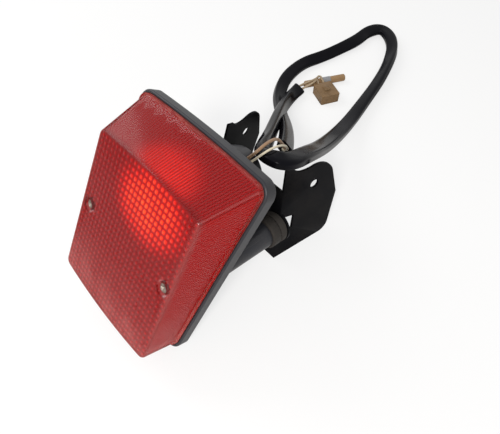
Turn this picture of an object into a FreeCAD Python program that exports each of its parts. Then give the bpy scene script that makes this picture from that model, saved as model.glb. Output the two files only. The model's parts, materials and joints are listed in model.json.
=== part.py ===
"""Motorcycle tail light with its rubber-damped bracket and short harness, lying on a bench with its lens up.

Two frames are used. The lamp frame has its origin at the middle of the lens rim's top edge: +X right, +Z up the
lamp, and the lens faces -Y. The bench frame, which every part is written in, has +Z up from the bench: the lamp
is tipped back by TILT, and its lower rim and the bracket's lower edge touch the bench at Z = 0.
All sizes are in millimetres and degrees.
"""
import FreeCAD, Part
import math
import os

Vec = FreeCAD.Vector

# --- how the lamp lies -------------------------------------------------------------------------------------
TILT = 33.0                 # lamp tipped back from upright
BENCH_Y = 4.3               # puts the middle of the lamp and bracket over the origin

# --- lens --------------------------------------------------------------------------------------------------
RIM_HALF_TOP = 65.0
RIM_HALF_BOTTOM = 54.5
RIM_HEIGHT = 160.0
RIM_BOW = 2.0               # the rim's top edge arches up by this much
FACE_HALF_TOP = 55.5
FACE_HALF_BOTTOM = 57.0
FACE_TOP = -26.0
FACE_BOTTOM = -153.0
FACE_BOW = 4.0              # the face's lower edge sags by this much
LENS_DEPTH = 35.0
LENS_WALL = 2.6
LENS_LIP = 1.2              # the lens's foot stands proud of its wall by this much
LENS_LIP_THICK = 2.4
RIM_CORNER = 9.0
LENS_CORNER = 6.0
FACE_EDGE = 2.2             # rounding round the front face

# --- lens screws -------------------------------------------------------------------------------------------
SCREW_X = 47.4
SCREW_Z = -87.0
SCREW_R = 2.0
SCREW_HEAD_R = 3.9
SCREW_HEAD_THICK = 2.6
SCREW_DEPTH_IN_HOUSING = 14.0
WELL_R = 4.9                # recess that the head sits in
WELL_WALL = 1.7
WELL_DEPTH = 5.5
SEAL_THICK = 1.0
INSERT_R = 3.2
INSERT_LENGTH = 10.0
THREAD_GAP = 0.05
HEAD_GAP = 0.4
POST_WALL = 2.4

# --- gasket ------------------------------------------------------------------------------------------------
GASKET_THICK = 1.2
GASKET_WIDTH = 4.0

# --- housing -----------------------------------------------------------------------------------------------
RIM_PROUD = 3.7             # the housing's rim stands outside the lens by this much
RIM_DEPTH = 10.5
SEAT_GAP = 0.3              # round the gasket and the lens's foot
RIM_LAND = 7.5              # ledge that the lens sits on
TUB_INSET_FRONT = 4.0
TUB_INSET_BACK = 8.0
TUB_DEPTH = 28.0
SHELL = 2.5
BOWL_Z = -38.0              # height of the bulb's axis
BOWL_R = 26.0
BOWL_DEPTH = 68.0
BOWL_EDGE = 7.0
CAVITY_CORNER = 8.0
STANDOFF_R = 12.0
STANDOFF_REACH = 60.0       # runs forward far enough to pass through the tub's back wall

# --- bulb and socket ---------------------------------------------------------------------------------------
CAP_R = 7.5
CAP_FRONT = 46.0
CAP_BACK = 61.0
GLASS_R = 12.5
GLASS_CENTRE = 29.0
NECK_R = 7.0
GLASS_WALL = 0.8
PIN_R = 1.0
PIN_PROUD = 1.3
PIN_Y = 56.0
PUSH_TRAVEL = 1.5
TURN_TRAVEL = 20.0
SOCKET_GAP = 0.3
SOCKET_WALL = 0.9
SOCKET_FRONT = 49.0
SOCKET_FLANGE_R = 13.0
SLOT_GAP = 0.25
CONTACT_PITCH = 6.4
CONTACT_R = 1.6
CONTACT_THICK = 0.9
PLUNGER_R = 1.7
PLUNGER_STEM_R = 0.9
PLUNGER_HEAD = 1.2
PLUNGER_FIT = 0.08
INSULATOR_THICK = 3.0
SPRING_LENGTH = 4.2
REFLECTOR_THICK = 0.8

# --- bracket -----------------------------------------------------------------------------------------------
SHEET = 2.0
BRACKET_Y = 32.6            # lower front edge of the bracket behind the lamp's origin, along the bench
BRACKET_HALF = 48.2         # half width at the bench
WALL_SPLAY = 8.74           # each side wall opens outwards towards the rear
WALL_LEAN = 8.89            # and leans inwards towards the top
WALL_FRONT_TOP = 100.0
WALL_FRONT_RAKE = 18.0
PLATE_TOP = 78.0
EAR_U = 47.1
EAR_V = 68.4
EAR_R = 21.0
EAR_HOLE_R = 4.3
LUG_R = 14.8
LUG_GAP = 9.2

# --- rubber dampers ----------------------------------------------------------------------------------------
STUD_X = 40.6
STUD_V = 40.0
STUD_R = 3.0
DAMPER_R = 14.2
DAMPER_LENGTH = 17.0
DAMPER_GROOVE_R = 11.6
DAMPER_GROOVE = 1.3
DAMPER_GROOVE_AT = 8.6
COLLAR_WALL = 1.6
WASHER_R = 8.0
WASHER_THICK = 1.2
NUT_FLATS = 10.0
NUT_THICK = 5.0
STUD_PAST_NUT = 3.0
STUD_IN_HOUSING = 16.0
FIT = 0.1                   # radial running clearance of studs, collars and holes

# --- harness -----------------------------------------------------------------------------------------------
SLEEVE_R = 6.5
SLEEVE_WALL = 1.0
WIRE_R = 1.3
THIN_WIRE_R = 0.9
GROMMET_R = 3.6
GROMMET_LENGTH = 5.0
GROMMET_PROUD = 3.8
EXIT_ANGLE = 30.0           # the wires leave the bowl this far round from its top
EXIT_Y = 46.0
BOOT_R = 4.5
BAND_R = 4.9
BAND_LENGTH = 11.0
BAND_AT = 24.0
PLUG_LENGTH = 27.0
PLUG_WIDTH = 24.0
PLUG_HEIGHT = 12.0
PLUG_WALL = 1.6
PLUG_FLOOR = 9.0            # thickness left behind the plug's open mouth
TERMINAL_LENGTH = 9.0
MOUTH_DEPTH = 8.0           # how far the sleeve's ends are bored for the wires
PLUG_MOUTH = Vec(-87.5, 253.0, 0.0)
BOOT_FROM = (-106.0, 241.0, 5.0)
BOOT_TO = (-81.0, 291.0, 5.0)
WIRE_APART = 1.9            # half the distance between the two lamp wires
WIRE_RISE = 8.0             # they stand straight out of the grommet this far
BROWN_WAY = [(17.0, 47.0, 120.5), (11.5, 65.0, 112.0), (7.5, 77.0, 93.0)]
CREAM_WAY = [(23.0, 48.5, 120.0), (20.0, 66.0, 109.0), (15.0, 77.0, 91.0)]
# Centre line of the sleeve on the bench frame, before BENCH_Y: from the end beside the bowl, round the bench,
# back over the bracket and down behind it again.
SLEEVE_ROUTE = [
    (1.4, 88.3, 72), (-19.0, 114.0, 54), (-48.9, 144.9, 34), (-83.9, 172.3, 16), (-112.5, 199.5, 7.5),
    (-131.9, 232.4, 7), (-137.9, 271.5, 7), (-129.6, 301.1, 7), (-124.9, 338.1, 7), (-122.2, 370.6, 7),
    (-126.0, 397.0, 7), (-118.2, 419.7, 7), (-97.2, 413.2, 7), (-76.2, 391.3, 7), (-58.7, 358.0, 7),
    (-42.2, 311.6, 7), (-30.9, 268.1, 7), (-17.6, 222.9, 12), (-3.1, 175.1, 28), (13.5, 127.0, 56),
    (28.5, 86.0, 88), (38.0, 49.0, 111), (16.5, 44.5, 108), (1.8, 60.8, 93), (-13.7, 81.3, 77),
    (-36.0, 110.8, 58), (-62.4, 147.3, 38), (-87.7, 186.1, 17), (-100.7, 213.1, 7.5), (-103.2, 226.9, 7)]


def cylinder(radius, start, axis, length):
    return Part.makeCylinder(radius, length, Vec(*start), Vec(*axis))


def tube(outer, inner, start, axis, length):
    return cylinder(outer, start, axis, length).cut(cylinder(inner, start, axis, length))


def joined(shapes):
    first, rest = shapes[0], shapes[1:]
    return first.multiFuse(rest).removeSplitter() if rest else first


def both_sides(shape):
    return [shape, shape.mirror(Vec(0, 0, 0), Vec(1, 0, 0))]


# --- lamp frame to bench frame -----------------------------------------------------------------------------
def tipped(shape, lift=0.0):
    moved = shape.copy()
    moved.Placement = FreeCAD.Placement(Vec(0, 0, lift), FreeCAD.Rotation(Vec(1, 0, 0), -TILT)).multiply(
        moved.Placement)
    return moved


def lowest(shape):
    return min(point.z for point in shape.tessellate(0.05)[0])


# --- lens --------------------------------------------------------------------------------------------------
def outline(y, share, grow=0.0):
    """Closed wire of the lamp's section at depth y; share runs from 0 at the rim to 1 at the front face."""
    top = FACE_TOP * share + grow
    bottom = -RIM_HEIGHT + (FACE_BOTTOM + RIM_HEIGHT) * share - grow
    half_top = RIM_HALF_TOP + (FACE_HALF_TOP - RIM_HALF_TOP) * share + grow
    half_bottom = RIM_HALF_BOTTOM + (FACE_HALF_BOTTOM - RIM_HALF_BOTTOM) * share + grow
    sag = 1.0 + (FACE_BOW - 1.0) * share
    a, b = Vec(-half_top, y, top), Vec(half_top, y, top)
    c, d = Vec(half_bottom, y, bottom), Vec(-half_bottom, y, bottom)
    return Part.Wire([
        Part.Arc(a, Vec(0, y, top + RIM_BOW), b).toShape(),
        Part.LineSegment(b, c).toShape(),
        Part.Arc(c, Vec(0, y, bottom - sag), d).toShape(),
        Part.LineSegment(d, a).toShape()])


def corner_edges(solid, y_from, y_to):
    """The four edges that run from depth y_from to depth y_to."""
    found = []
    for edge in solid.Edges:
        ys = sorted(v.Point.y for v in edge.Vertexes)
        if len(ys) == 2 and abs(ys[0] - min(y_from, y_to)) < 0.01 and abs(ys[1] - max(y_from, y_to)) < 0.01:
            found.append(edge)
    return found


def block(y_back, y_front, share_back, share_front, grow_back, grow_front, radius):
    """A lofted block between two outlines, with its four long edges rounded."""
    solid = Part.makeLoft([outline(y_back, share_back, grow_back), outline(y_front, share_front, grow_front)],
                          True, True)
    return solid.makeFillet(radius, corner_edges(solid, y_back, y_front)).Solids[0]


def lens_block(inset):
    return block(0.0, -LENS_DEPTH + inset, 0.0, 1.0, -inset, -inset, LENS_CORNER - 0.7 * inset)


def make_lens():
    lip = block(0.0, -LENS_LIP_THICK, 0.0, 0.0, LENS_LIP, LENS_LIP, RIM_CORNER)
    outer = lens_block(0.0)
    outer = outer.makeFillet(FACE_EDGE, [e for e in outer.Edges if e.BoundBox.YMax < 0.1 - LENS_DEPTH]).Solids[0]
    shell = outer.fuse(lip).cut(lens_block(LENS_WALL))
    for x in (-SCREW_X, SCREW_X):
        post = cylinder(WELL_R + WELL_WALL, (x, -LENS_DEPTH + 1.0, SCREW_Z), (0, 1, 0), LENS_DEPTH - 1.0)
        shell = shell.fuse(post)
    for x in (-SCREW_X, SCREW_X):
        well = cylinder(WELL_R, (x, -LENS_DEPTH - 1, SCREW_Z), (0, 1, 0), WELL_DEPTH + 1)
        bore = cylinder(SCREW_R + HEAD_GAP, (x, -LENS_DEPTH, SCREW_Z), (0, 1, 0), LENS_DEPTH + 1)
        shell = shell.cut(well).cut(bore)
    return shell.removeSplitter()


def head_seat():
    return -LENS_DEPTH + WELL_DEPTH


def make_seals():
    y = head_seat()
    return [tube(SCREW_HEAD_R, SCREW_R + FIT, (x, y - SEAL_THICK, SCREW_Z), (0, 1, 0), SEAL_THICK)
            for x in (-SCREW_X, SCREW_X)]


def make_screws():
    made = []
    for x in (-SCREW_X, SCREW_X):
        seat = head_seat() - SEAL_THICK
        head = cylinder(SCREW_HEAD_R, (x, seat - SCREW_HEAD_THICK, SCREW_Z), (0, 1, 0), SCREW_HEAD_THICK)
        front = [e for e in head.Edges if abs(e.BoundBox.YMax - (seat - SCREW_HEAD_THICK)) < 0.01]
        head = head.makeFillet(1.2, front[:1])
        shank = cylinder(SCREW_R, (x, seat, SCREW_Z), (0, 1, 0), SCREW_DEPTH_IN_HOUSING - seat)
        slot = Part.makeBox(4.4, 1.6, 0.9, Vec(x - 2.2, seat - SCREW_HEAD_THICK - 0.1, SCREW_Z - 0.45))
        cross = Part.makeBox(0.9, 1.6, 4.4, Vec(x - 0.45, seat - SCREW_HEAD_THICK - 0.1, SCREW_Z - 2.2))
        made.append(head.fuse(shank).cut(slot).cut(cross))
    return made


def make_gasket():
    inner_edge = LENS_LIP - GASKET_WIDTH
    outer = block(GASKET_THICK, 0.0, 0.0, 0.0, LENS_LIP, LENS_LIP, RIM_CORNER)
    inner = block(GASKET_THICK + 1, -1.0, 0.0, 0.0, inner_edge, inner_edge, RIM_CORNER - GASKET_WIDTH)
    return outer.cut(inner)


# --- housing -----------------------------------------------------------------------------------------------
def bowl_solid(radius, y_from, y_to, edge):
    solid = cylinder(radius, (0, y_from, BOWL_Z), (0, 1, 0), y_to - y_from)
    back = [e for e in solid.Edges if abs(e.BoundBox.YMin - y_to) < 0.01 and e.Length > radius]
    return solid.makeFillet(edge, back)


def make_rim():
    return block(RIM_DEPTH, 0.0, 0.0, 0.0, RIM_PROUD, RIM_PROUD, RIM_CORNER + 2)


def make_housing(standoffs):
    rim = make_rim()
    front_edges = [e for e in rim.Edges if e.BoundBox.YMax - e.BoundBox.YMin < 0.01]
    rim = rim.makeFillet(1.4, front_edges)
    tub = block(TUB_DEPTH, RIM_DEPTH, 0.0, 0.0, -TUB_INSET_BACK, -TUB_INSET_FRONT, RIM_CORNER)
    back_edges = [e for e in tub.Edges if e.BoundBox.YMin > TUB_DEPTH - 0.01]
    tub = tub.makeFillet(4.0, back_edges)
    outer = rim.multiFuse([tub, bowl_solid(BOWL_R, TUB_DEPTH - 5, BOWL_DEPTH, BOWL_EDGE)] + standoffs)
    seat = block(GASKET_THICK, -0.01, 0.0, 0.0, LENS_LIP + SEAT_GAP, LENS_LIP + SEAT_GAP, RIM_CORNER)
    cavity = block(TUB_DEPTH - SHELL, -0.02, 0.0, 0.0, -TUB_INSET_BACK - SHELL, -RIM_LAND, CAVITY_CORNER)
    bowl = bowl_solid(BOWL_R - SHELL, TUB_DEPTH - SHELL - 1, BOWL_DEPTH - SHELL, BOWL_EDGE - SHELL)
    hole = cylinder(CAP_R + SOCKET_GAP + SOCKET_WALL + FIT, (0, BOWL_DEPTH - SHELL - 2, BOWL_Z), (0, 1, 0),
                    SHELL + 4)
    body = outer.cut(seat).cut(cavity).cut(bowl).cut(hole)
    for x in (-SCREW_X, SCREW_X):
        post = cylinder(INSERT_R + POST_WALL, (x, GASKET_THICK + 0.6, SCREW_Z), (0, 1, 0), TUB_DEPTH - SHELL - 1)
        body = body.fuse(post)
    for x in (-SCREW_X, SCREW_X):
        body = body.cut(cylinder(INSERT_R, (x, 0, SCREW_Z), (0, 1, 0), INSERT_LENGTH + GASKET_THICK + 0.6))
        body = body.cut(cylinder(SCREW_R + HEAD_GAP, (x, 0, SCREW_Z), (0, 1, 0), SCREW_DEPTH_IN_HOUSING + 2))
    return body.removeSplitter()


# --- reflector, bulb and socket ----------------------------------------------------------------------------
def turned(profile):
    """A solid turned about the bulb's axis from (radius, y) points."""
    points = [Vec(r, y, BOWL_Z) for r, y in profile]
    face = Part.Face(Part.makePolygon(points + points[:1]))
    return face.revolve(Vec(0, 0, BOWL_Z), Vec(0, 1, 0), 360)


def make_reflector():
    back = TUB_DEPTH - SHELL
    rim_r = BOWL_R + 3.0
    mouth = BOWL_R - SHELL - 1.0
    throat = CAP_R + 2.5
    deep = BOWL_DEPTH - SHELL - 4.0
    t = REFLECTOR_THICK
    profile = [(rim_r, back - t), (rim_r, back), (mouth - 0.5, back), (mouth - 2.0, back + 8.0),
               (mouth - 6.0, deep - 8.0), (throat + 3.0, deep), (throat, deep), (throat, deep - t),
               (throat + 2.6, deep - t), (mouth - 6.8, deep - 8.4), (mouth - 2.8, back + 7.8),
               (mouth - 1.4, back - t)]
    return turned(profile)


def make_bulb_glass():
    ball = Part.makeSphere(GLASS_R, Vec(0, GLASS_CENTRE, BOWL_Z))
    neck = cylinder(NECK_R, (0, GLASS_CENTRE, BOWL_Z), (0, 1, 0), CAP_FRONT - GLASS_CENTRE)
    inside = Part.makeSphere(GLASS_R - GLASS_WALL, Vec(0, GLASS_CENTRE, BOWL_Z))
    bore = cylinder(NECK_R - GLASS_WALL, (0, GLASS_CENTRE, BOWL_Z), (0, 1, 0), CAP_FRONT - GLASS_CENTRE + 1)
    return ball.fuse(neck).cut(inside).cut(bore).removeSplitter()


def make_bulb_cap():
    cap = tube(CAP_R, CAP_R - 0.6, (0, CAP_FRONT, BOWL_Z), (0, 1, 0), CAP_BACK - CAP_FRONT)
    glass_bed = cylinder(CAP_R - 0.6, (0, CAP_BACK - 3.0, BOWL_Z), (0, 1, 0), 3.0)
    return cap.fuse(glass_bed).removeSplitter()


def make_bulb_pins():
    return [cylinder(PIN_R, (s * CAP_R, PIN_Y, BOWL_Z), (s, 0, 0), PIN_PROUD) for s in (-1, 1)]


def make_bulb_contacts():
    return [cylinder(CONTACT_R, (0, CAP_BACK, BOWL_Z + s * CONTACT_PITCH / 2), (0, 1, 0), CONTACT_THICK)
            for s in (-1, 1)]


def make_stem():
    """Glass foot that carries the filament wires inside the bulb."""
    foot = cylinder(NECK_R - GLASS_WALL - 0.3, (0, CAP_FRONT - 1.0, BOWL_Z), (0, 1, 0), CAP_BACK - CAP_FRONT - 2.0)
    pinch = Part.makeBox(7.0, 7.0, 2.4, Vec(-3.5, CAP_FRONT - 8.0, BOWL_Z - 1.2))
    return foot.fuse(pinch).removeSplitter()


def make_filaments():
    made = []
    for z, half in ((BOWL_Z + 2.5, 2.6), (BOWL_Z - 2.5, 2.0)):
        y = GLASS_CENTRE - 0.5
        coil = cylinder(0.35, (-half, y, z), (1, 0, 0), 2 * half)
        legs = []
        for x in (-half, half):
            foot = Vec(x * 1.1, CAP_FRONT - 7.5, BOWL_Z + (0.9 if z > BOWL_Z else -0.9))
            top = Vec(x, y, z)
            legs.append(Part.makeCylinder(0.25, (foot - top).Length, top, foot - top))
        made.append(joined([coil] + legs))
    return made


def make_socket():
    inner = CAP_R + SOCKET_GAP
    outer = inner + SOCKET_WALL
    back = BOWL_DEPTH + 3.0
    shell = tube(outer, inner, (0, SOCKET_FRONT, BOWL_Z), (0, 1, 0), back - SOCKET_FRONT)
    flange = tube(SOCKET_FLANGE_R, inner, (0, BOWL_DEPTH - SHELL - 1.2, BOWL_Z), (0, 1, 0), 1.2)
    shell = shell.fuse(flange)
    half = PIN_R + SLOT_GAP
    for s in (-1, 1):
        entry = Part.makeBox(6.0, PIN_Y - SOCKET_FRONT + half + 1, 2 * half,
                             Vec(inner - 2.0, SOCKET_FRONT - 1, BOWL_Z - half))
        window = Part.makeBox(6.0, 2 * half + PUSH_TRAVEL, 2 * half,
                              Vec(inner - 2.0, PIN_Y - half, BOWL_Z - half))
        steps = 8
        cuts = [entry.rotated(Vec(0, 0, BOWL_Z), Vec(0, 1, 0), TURN_TRAVEL)]
        cuts += [window.rotated(Vec(0, 0, BOWL_Z), Vec(0, 1, 0), TURN_TRAVEL * i / steps) for i in range(steps + 1)]
        for cut in cuts:
            turn = 0 if s > 0 else 180
            shell = shell.cut(cut.rotated(Vec(0, 0, BOWL_Z), Vec(0, 1, 0), turn))
    return shell.removeSplitter()


def plunger_front():
    return CAP_BACK + CONTACT_THICK + 0.1


def make_plungers():
    made = []
    for s in (-1, 1):
        at = (0, plunger_front(), BOWL_Z + s * CONTACT_PITCH / 2)
        head = cylinder(PLUNGER_R, at, (0, 1, 0), PLUNGER_HEAD)
        stem = cylinder(PLUNGER_STEM_R, at, (0, 1, 0), PLUNGER_HEAD + SPRING_LENGTH + INSULATOR_THICK)
        made.append(head.fuse(stem).removeSplitter())
    return made


def make_contact_springs():
    return [tube(PLUNGER_R - 0.1, PLUNGER_STEM_R + 0.15,
                 (0, plunger_front() + PLUNGER_HEAD, BOWL_Z + s * CONTACT_PITCH / 2), (0, 1, 0), SPRING_LENGTH)
            for s in (-1, 1)]


def make_insulator():
    y = plunger_front() + PLUNGER_HEAD + SPRING_LENGTH
    disc = cylinder(CAP_R + SOCKET_GAP, (0, y, BOWL_Z), (0, 1, 0), INSULATOR_THICK)
    for s in (-1, 1):
        disc = disc.cut(cylinder(PLUNGER_STEM_R + PLUNGER_FIT, (0, y - 1, BOWL_Z + s * CONTACT_PITCH / 2), (0, 1, 0),
                                 INSULATOR_THICK + 2))
    return disc


# --- bracket, in the bench frame ---------------------------------------------------------------------------
def wall_axes():
    splay, lean = math.radians(WALL_SPLAY), math.radians(WALL_LEAN)
    u = Vec(math.sin(splay), math.cos(splay), 0)
    v = Vec(-math.sin(lean) * math.cos(splay), math.sin(lean) * math.sin(splay), math.cos(lean))
    return Vec(BRACKET_HALF, BRACKET_Y, 0), u, v, v.cross(u) * -1.0


def on_wall(u, v):
    origin, along, up, out = wall_axes()
    return origin + along * u + up * v


def plate_axes():
    """Origin on the middle of the plate's lower edge, its up direction, and the direction through it."""
    rise = on_wall(WALL_FRONT_RAKE, WALL_FRONT_TOP) - on_wall(0, 0)
    up = Vec(0, rise.y, rise.z).normalize()
    return Vec(0, BRACKET_Y, 0), up, Vec(0, up.z, -up.y)


def stud_centre(side, s=0.0):
    origin, up, through = plate_axes()
    return origin + up * STUD_V + through * s + Vec(side * STUD_X, 0, 0)


def ear_centre():
    return on_wall(EAR_U, EAR_V)


def make_wall():
    out = wall_axes()[3]
    ear = ear_centre()

    def ear_point(angle):
        a = math.radians(angle)
        return ear + wall_axes()[1] * (EAR_R * math.cos(a)) + wall_axes()[2] * (EAR_R * math.sin(a))

    points = [on_wall(0, 0), on_wall(53, 0), on_wall(65, 8), on_wall(73.2, 45), ear_point(8), ear_point(100),
              on_wall(34, 90), on_wall(26, 96), on_wall(WALL_FRONT_RAKE, WALL_FRONT_TOP)]
    edges = [Part.LineSegment(points[0], points[1]).toShape(),
             Part.Arc(points[1], on_wall(61, 2.4), points[2]).toShape(),
             Part.LineSegment(points[2], points[3]).toShape(),
             Part.LineSegment(points[3], points[4]).toShape(),
             Part.Arc(points[4], ear_point(54), points[5]).toShape(),
             Part.Arc(points[5], on_wall(38.5, 89.2), points[6]).toShape(),
             Part.Arc(points[6], on_wall(29.5, 92), points[7]).toShape(),
             Part.LineSegment(points[7], points[8]).toShape(),
             Part.LineSegment(points[8], points[0]).toShape()]
    return Part.Face(Part.Wire(edges)).extrude(out * -SHEET)


def make_bracket():
    origin, up, through = plate_axes()
    foot = on_wall(0, 0)
    share = PLATE_TOP / (on_wall(WALL_FRONT_RAKE, WALL_FRONT_TOP) - foot).dot(up)
    head = foot + (on_wall(WALL_FRONT_RAKE, WALL_FRONT_TOP) - foot) * share
    corners = [Vec(-foot.x, foot.y, foot.z), foot, head, Vec(-head.x, head.y, head.z)]
    plate = Part.Face(Part.makePolygon(corners + corners[:1])).extrude(through * SHEET)
    walls = both_sides(make_wall())
    solids = [plate]
    for side, wall in zip((1, -1), walls):
        wall = wall.cut(cylinder(LUG_GAP, stud_centre(side, SHEET), through, STUD_PAST_NUT + NUT_THICK + 6))
        solids += [wall, cylinder(LUG_R, stud_centre(side), through, SHEET)]
    body = joined(solids)
    ear = ear_centre()
    body = body.cut(cylinder(EAR_HOLE_R, (-80, ear.y, ear.z), (1, 0, 0), 160))
    for side in (-1, 1):
        body = body.cut(cylinder(STUD_R + 2 * FIT + COLLAR_WALL, stud_centre(side, -1), through, SHEET + 2))
    body = body.cut(Part.makeBox(200, 200, 20, Vec(-100, 0, -20)))
    return body


# --- rubber dampers and their fixings, in the bench frame --------------------------------------------------
def each_stud(make):
    return [make(side) for side in (-1, 1)]


def make_standoff(side):
    through = plate_axes()[2]
    return cylinder(STANDOFF_R, stud_centre(side, -DAMPER_LENGTH), through * -1.0, STANDOFF_REACH)


def stud_bore(side):
    through = plate_axes()[2]
    return cylinder(STUD_R, stud_centre(side, -DAMPER_LENGTH - STUD_IN_HOUSING), through, STUD_IN_HOUSING + 1)


def make_damper(side):
    through = plate_axes()[2]
    body = cylinder(DAMPER_R, stud_centre(side, -DAMPER_LENGTH), through, DAMPER_LENGTH)
    body = body.makeFillet(1.6, [e for e in body.Edges if e.Length > DAMPER_R * 3 and len(e.Vertexes) == 1])
    groove = tube(DAMPER_R + 2, DAMPER_GROOVE_R, stud_centre(side, -DAMPER_GROOVE_AT), through, DAMPER_GROOVE)
    bore = cylinder(STUD_R + FIT + COLLAR_WALL, stud_centre(side, -DAMPER_LENGTH - 1), through, DAMPER_LENGTH + 2)
    return body.cut(groove).cut(bore)


def make_collar(side):
    through = plate_axes()[2]
    return tube(STUD_R + FIT + COLLAR_WALL, STUD_R + FIT, stud_centre(side, -DAMPER_LENGTH), through,
                DAMPER_LENGTH + SHEET)


def make_washer(side):
    through = plate_axes()[2]
    return tube(WASHER_R, STUD_R + FIT, stud_centre(side, SHEET), through, WASHER_THICK)


def make_nut(side):
    origin, up, through = plate_axes()
    centre = stud_centre(side, SHEET + WASHER_THICK)
    corner = NUT_FLATS / math.sqrt(3)
    across = Vec(1, 0, 0)
    points = [centre + (across * math.cos(math.radians(60 * i)) + up * math.sin(math.radians(60 * i))) * corner
              for i in range(6)]
    nut = Part.Face(Part.makePolygon(points + points[:1])).extrude(through * NUT_THICK)
    return nut.cut(cylinder(STUD_R + THREAD_GAP, stud_centre(side, 0), through, 20))


def make_stud(side):
    through = plate_axes()[2]
    length = STUD_IN_HOUSING + DAMPER_LENGTH + SHEET + WASHER_THICK + NUT_THICK + STUD_PAST_NUT
    return cylinder(STUD_R, stud_centre(side, -DAMPER_LENGTH - STUD_IN_HOUSING), through, length)


# --- harness, in the bench frame ---------------------------------------------------------------------------
def cord_wire(points):
    """Straight runs joined by tangent arcs; returns the wire, the arc radii and the length."""
    pts = [Vec(*p) for p in points]
    edges, radii, here = [], [], pts[0]
    for before, corner, after in zip(pts, pts[1:], pts[2:]):
        run_in, run_out = corner - before, after - corner
        turn = run_in.getAngle(run_out)
        reach = 0.45 * min(run_in.Length, run_out.Length)
        start = corner - run_in.normalize() * reach
        end = corner + run_out.normalize() * reach
        bisector = (start + end) * 0.5 - corner
        radius = reach / math.tan(turn / 2)
        middle = corner + bisector.normalize() * (radius / math.cos(turn / 2) - radius)
        edges += [Part.LineSegment(here, start).toShape(), Part.Arc(start, middle, end).toShape()]
        radii.append(radius)
        here = end
    edges.append(Part.LineSegment(here, pts[-1]).toShape())
    wire = Part.Wire(edges)
    return wire, radii, wire.Length


def cord(name, points, radius):
    wire, radii, length = cord_wire(points)
    start = Vec(*points[0])
    ring = Part.Wire(Part.makeCircle(radius, start, Vec(*points[1]) - start))
    solid = wire.makePipeShell([ring], True, False)
    share = solid.Volume / (math.pi * radius * radius * length)
    print(name, "length", round(length, 1), "arc radii", [round(r) for r in radii], "volume share", round(share, 3))
    return solid


def shifted(points, offset):
    return [tuple(Vec(*p) + Vec(*offset)) for p in points]


def make_sleeve():
    outer = cord("sleeve", SLEEVE_ROUTE, SLEEVE_R)
    first, second = Vec(*SLEEVE_ROUTE[0]), Vec(*SLEEVE_ROUTE[1])
    last, before = Vec(*SLEEVE_ROUTE[-1]), Vec(*SLEEVE_ROUTE[-2])
    mouths = []
    for end, inner in ((first, second), (last, before)):
        along = (inner - end).normalize()
        mouths.append(cylinder(SLEEVE_R - SLEEVE_WALL, end - along, along, MOUTH_DEPTH + 1))
    return outer.cut(mouths[0]).cut(mouths[1])


def benched(point, lift):
    """A lamp-frame point in the bench frame."""
    return tipped(Part.Vertex(Vec(*point)), lift).Point


def exit_axes():
    """Where the wires' way out meets the bowl, its direction, and the direction across it, in the lamp frame."""
    angle = math.radians(EXIT_ANGLE)
    out = Vec(math.sin(angle), 0, math.cos(angle))
    return Vec(0, EXIT_Y, BOWL_Z) + out * BOWL_R, out, Vec(out.z, 0, -out.x)


def make_grommet():
    foot, out, across = exit_axes()
    return cylinder(GROMMET_R, foot + out * (GROMMET_PROUD - GROMMET_LENGTH), out, GROMMET_LENGTH)


def wire_ends(side):
    """Start on the grommet's face and finish inside the sleeve's mouth, beside the other wire."""
    first, second = Vec(*SLEEVE_ROUTE[0]), Vec(*SLEEVE_ROUTE[1])
    along = (second - first).normalize()
    across = along.cross(Vec(0, 0, 1)).normalize() * (-side * 2.4)
    return first + across - along * 8.0, first + across + along * (MOUTH_DEPTH - 1.0)


def make_lamp_wire(name, side, radius, way, lift):
    foot, out, across = exit_axes()
    start = foot + out * GROMMET_PROUD + across * (side * WIRE_APART)
    near, deep = wire_ends(side)
    return cord(name, [benched(start, lift), benched(start + out * WIRE_RISE, lift)] + way + [near, deep], radius)


def plug_axes():
    along = Vec(25, -11, 0).normalize()
    return PLUG_MOUTH, along, Vec(-along.y, along.x, 0)


def plug_box(length, width, height, forward, low):
    mouth, along, across = plug_axes()
    box = Part.makeBox(length, width, height, Vec(forward, -width / 2, low))
    turn = math.degrees(math.atan2(along.y, along.x))
    return box.rotated(Vec(0, 0, 0), Vec(0, 0, 1), turn).translated(mouth)


def make_plug():
    body = plug_box(PLUG_LENGTH, PLUG_WIDTH, PLUG_HEIGHT, 0, 0)
    upright = [e for e in body.Edges if e.BoundBox.ZMax - e.BoundBox.ZMin > PLUG_HEIGHT - 0.1]
    body = body.makeFillet(1.5, upright)
    mouth = plug_box(PLUG_LENGTH - PLUG_FLOOR + 1, PLUG_WIDTH - 2 * PLUG_WALL, PLUG_HEIGHT - 2 * PLUG_WALL, -1,
                     PLUG_WALL)
    latch = plug_box(9.0, 7.0, 1.6, 8.0, PLUG_HEIGHT)
    return body.cut(mouth).fuse(latch).removeSplitter()


def terminal_at(side):
    mouth, along, across = plug_axes()
    return mouth + along * (PLUG_LENGTH - PLUG_FLOOR - TERMINAL_LENGTH) + across * (side * 4.5) + Vec(
        0, 0, PLUG_HEIGHT / 2)


def make_terminals():
    along = plug_axes()[1]
    return [cylinder(1.9, terminal_at(side), along, TERMINAL_LENGTH) for side in (-1, 1)]


def make_plug_wires():
    last, before = Vec(*SLEEVE_ROUTE[-1]), Vec(*SLEEVE_ROUTE[-2])
    ahead = (last - before).normalize()
    mouth, along, across = plug_axes()
    over = BOOT_FROM[2] + BOOT_R + WIRE_R + 1.0
    made = []
    for side in (-1, 1):
        beside = Vec(1, 0, 0) * (-side * 1.6) + Vec(0, 0, 1.8 * side)
        start = last - ahead * (MOUTH_DEPTH - 1.0) + beside
        entry = terminal_at(side)
        crest = mouth - along * (11.0 + 3.0 * side) + across * (side * 3.0) + Vec(0, 0, over + 1.5)
        way = [start, last + ahead * 5.0 + beside, crest - ahead * 9.0 + Vec(0, 0, -1.0), crest,
               entry - along * 7.0 + Vec(0, 0, 1.0), entry]
        made.append(cord("plug wire", way, WIRE_R))
    return made


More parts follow.
